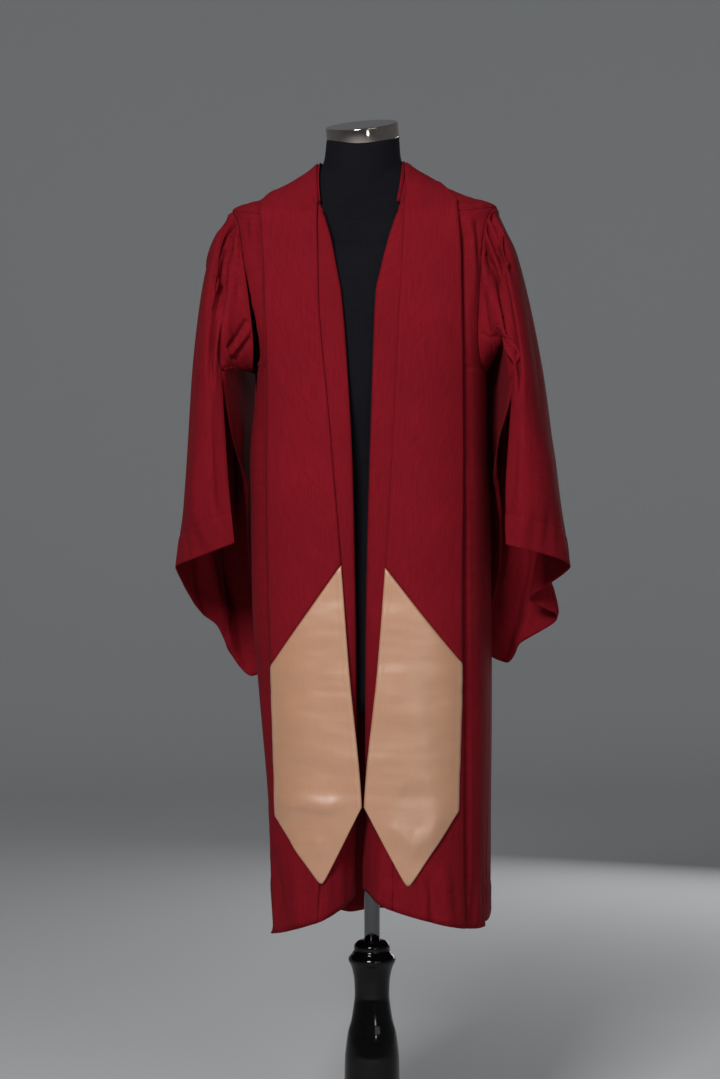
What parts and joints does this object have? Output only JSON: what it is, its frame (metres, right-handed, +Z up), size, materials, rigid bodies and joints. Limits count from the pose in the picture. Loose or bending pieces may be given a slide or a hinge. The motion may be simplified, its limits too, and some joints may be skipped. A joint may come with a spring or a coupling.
{
  "type": "graduation gown on a dress form",
  "caption": "Open maroon graduation gown with long bell sleeves and a stole with gold satin pointed ends, on a black dress form on a turned stand",
  "frame": {"origin": "centre of the stand's underside", "axes": "+Z up, the gown's front faces -Y, the wearer's right is -X"},
  "size_m": [0.5888, 0.3407, 1.5872],
  "materials": {
    "maroon_cloth": "matte plain weave",
    "gold_satin": "soft satin sheen",
    "form_cover": "matte jersey",
    "cap_chrome": "polished",
    "pole_steel": "satin",
    "post_lacquer": "gloss black lacquer",
    "base_paint": "semi-gloss black"
  },
  "bodies": {
    "root": {"yoke": "maroon_cloth", "neckband": "maroon_cloth", "back": "maroon_cloth", "front_right": "maroon_cloth", "front_left": "maroon_cloth", "band_right": "maroon_cloth", "band_left": "maroon_cloth", "sleeve_right": "maroon_cloth", "sleeve_left": "maroon_cloth", "stole_right": "maroon_cloth", "stole_left": "maroon_cloth", "stole_end_right": "gold_satin", "stole_end_left": "gold_satin", "form_torso": "form_cover", "neck_cap": "cap_chrome", "pole": "pole_steel", "stand_post": "post_lacquer", "stand_base": "base_paint"}
  },
  "joints": []
}
